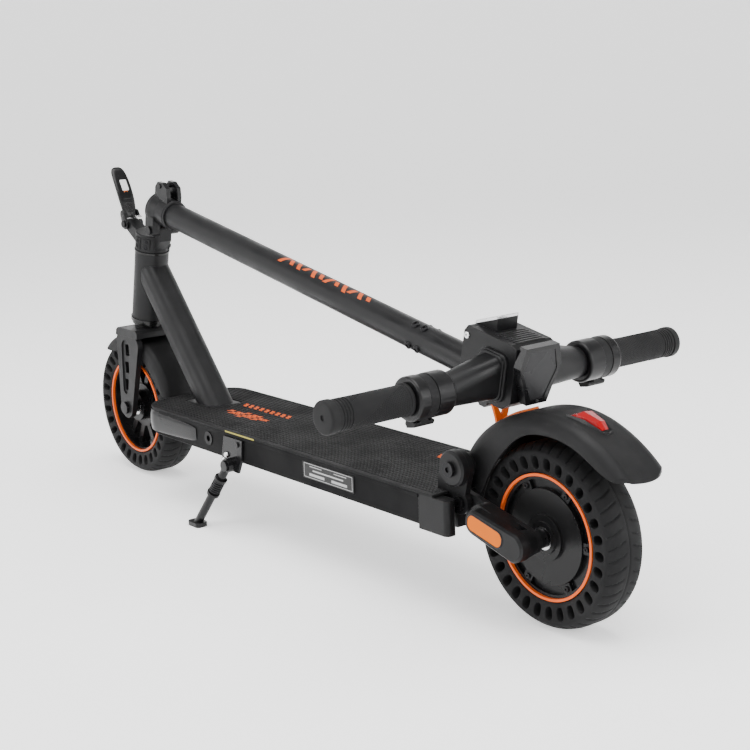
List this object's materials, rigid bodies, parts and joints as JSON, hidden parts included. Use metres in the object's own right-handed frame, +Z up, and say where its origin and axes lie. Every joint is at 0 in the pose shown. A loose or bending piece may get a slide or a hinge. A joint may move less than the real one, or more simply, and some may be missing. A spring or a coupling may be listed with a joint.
{
  "type": "electric kick scooter",
  "caption": "Folding electric kick scooter, folded down on its side stand, with solid honeycomb tyres, rear hub motor, ribbed deck, thumb paddles and foot-brake fender.",
  "frame": {"origin": "middle of the folded scooter's length and width, on the ground", "axes": "+X points forward from rear wheel to front wheel, +Y to the rider's left, +Z up"},
  "size_m": [1.0788, 0.5, 0.4455],
  "materials": {
    "deck_paint": "matt black powder coat",
    "frame_paint": "satin anthracite powder coat",
    "stem_paint": "satin anthracite powder coat",
    "deck_rubber": "matt ribbed rubber",
    "black_plastic": "fine-grained black plastic",
    "satin_plastic": "satin black plastic",
    "grey_plastic": "grey plastic",
    "gloss_plastic_black": "gloss black plastic",
    "battery_wrap": "shrink-wrapped cells",
    "plate_film": "blank printed plate",
    "gloss_black": "gloss black rings",
    "gloss_metal": "gloss black paint",
    "bearing_steel": "ground steel",
    "bolt_steel": "blackened steel",
    "latch_chrome": "bright steel",
    "rim_alloy": "semi-gloss black cast alloy",
    "motor_cover_paint": "semi-gloss black paint",
    "tyre_rubber": "matt black solid tyre",
    "grip_rubber": "textured black rubber",
    "ring_orange": "coral orange ring",
    "strap_orange": "orange painted spring steel",
    "reflector_orange": "orange reflector",
    "tail_red": "red lens",
    "lamp_glass": "clear lamp lens",
    "display_glass": "smoked display window",
    "spring_steel": "zinc-plated coil spring",
    "stator_copper": "laminated iron with copper windings"
  },
  "bodies": {
    "frame": {"deck_frame": "deck_paint", "bottom_plate": "deck_paint", "deck_mat": "deck_rubber", "nose_cover": "black_plastic", "rear_cover": "black_plastic", "battery_pack": "battery_wrap", "charge_socket": "black_plastic", "rating_plate": "plate_film", "down_tube": "frame_paint", "head_tube": "frame_paint", "headset_bearings": "bearing_steel", "headset_seals": "gloss_black", "stand_bracket": "gloss_metal", "rear_brackets": "frame_paint", "rear_pivot_bolts": "bolt_steel"},
    "steering": {"fork_crown": "frame_paint", "fork_legs": "frame_paint", "front_axle": "bolt_steel", "front_fender": "black_plastic", "fold_base": "frame_paint", "hinge_pins": "bolt_steel"},
    "front_wheel": {"front_tyre": "tyre_rubber", "front_rim": "rim_alloy", "front_rim_rings": "ring_orange", "front_wheel_bearings": "bearing_steel"},
    "lever": {"fold_lever": "gloss_metal", "latch_hook": "latch_chrome"},
    "stem": {"stem_tube": "stem_paint", "fold_head": "frame_paint", "latch_catch": "gloss_metal", "stem_bolts": "bolt_steel", "handlebar_tube": "stem_paint", "handlebar_arms": "satin_plastic", "head_unit": "satin_plastic", "headlight_lens": "lamp_glass", "display_bezel": "gloss_plastic_black", "display_glass": "display_glass", "hook_nub": "grey_plastic", "left_grip": "grip_rubber", "right_grip": "grip_rubber", "control_housings": "gloss_plastic_black"},
    "brake": {"brake_paddle": "black_plastic"},
    "throttle": {"throttle_paddle": "black_plastic"},
    "button": {"power_button": "grey_plastic"},
    "stand": {"stand_leg": "gloss_metal", "stand_spring": "spring_steel"},
    "swing_arm": {"swing_arms": "frame_paint", "arm_covers": "satin_plastic", "side_reflectors": "reflector_orange", "rear_axle": "bolt_steel", "motor_stator": "stator_copper"},
    "rear_wheel": {"rear_tyre": "tyre_rubber", "motor_shell": "rim_alloy", "motor_covers": "motor_cover_paint", "rear_rim_rings": "ring_orange", "rear_wheel_bearings": "bearing_steel"},
    "fender": {"rear_fender": "black_plastic", "fender_strap": "strap_orange", "fender_leaf": "strap_orange", "tail_light": "tail_red"}
  },
  "joints": [
    {"name": "steering_turn", "type": "hinge", "parent": "frame", "child": "steering", "pos_m": [0.3984, 0, 0.331], "axis": [-0.2215, 0, 0.9751], "range_deg": [-55, 55]},
    {"name": "front_wheel_spin", "type": "hinge", "parent": "steering", "child": "front_wheel", "pos_m": [0.4394, 0, 0.1], "axis": [0, 1, 0], "continuous": true},
    {"name": "stem_fold", "type": "hinge", "parent": "steering", "child": "stem", "pos_m": [0.3634, 0, 0.3642], "axis": [0, 1, 0], "range_deg": [0, 88.35]},
    {"name": "lever_close", "type": "hinge", "parent": "steering", "child": "lever", "pos_m": [0.4504, 0, 0.366], "axis": [0, 1, 0], "range_deg": [-30, 0]},
    {"name": "throttle_press", "type": "hinge", "parent": "stem", "child": "throttle", "pos_m": [-0.34552, 0, 0.25841], "axis": [0, 1, 0], "range_deg": [-25, 0], "stiffness_Nm_per_rad": 0.5, "springref_deg": 17.19},
    {"name": "brake_press", "type": "hinge", "parent": "stem", "child": "brake", "pos_m": [-0.34552, 0, 0.25841], "axis": [0, 1, 0], "range_deg": [-25, 0], "stiffness_Nm_per_rad": 0.5, "springref_deg": 17.19},
    {"name": "button_press", "type": "slide", "parent": "stem", "child": "button", "axis": [0.9811, 0, 0.1934], "range_m": [0, 0.0012], "stiffness_N_per_m": 300, "springref_m": -0.0012},
    {"name": "stand_fold", "type": "hinge", "parent": "frame", "child": "stand", "pos_m": [0.0954, 0.0845, 0.09], "axis": [0, 1, 0], "range_deg": [0, 118]},
    {"name": "rear_suspension", "type": "hinge", "parent": "frame", "child": "swing_arm", "pos_m": [-0.3156, 0, 0.123], "axis": [0, 1, 0], "range_deg": [0, 8], "stiffness_Nm_per_rad": 80, "springref_deg": -17.19},
    {"name": "rear_wheel_spin", "type": "hinge", "parent": "swing_arm", "child": "rear_wheel", "pos_m": [-0.4136, 0, 0.1], "axis": [0, 1, 0], "continuous": true},
    {"name": "fender_brake", "type": "hinge", "parent": "frame", "child": "fender", "pos_m": [-0.3126, 0, 0.162], "axis": [0, 1, 0], "range_deg": [-14, 0], "stiffness_Nm_per_rad": 6, "springref_deg": 14.32}
  ]
}
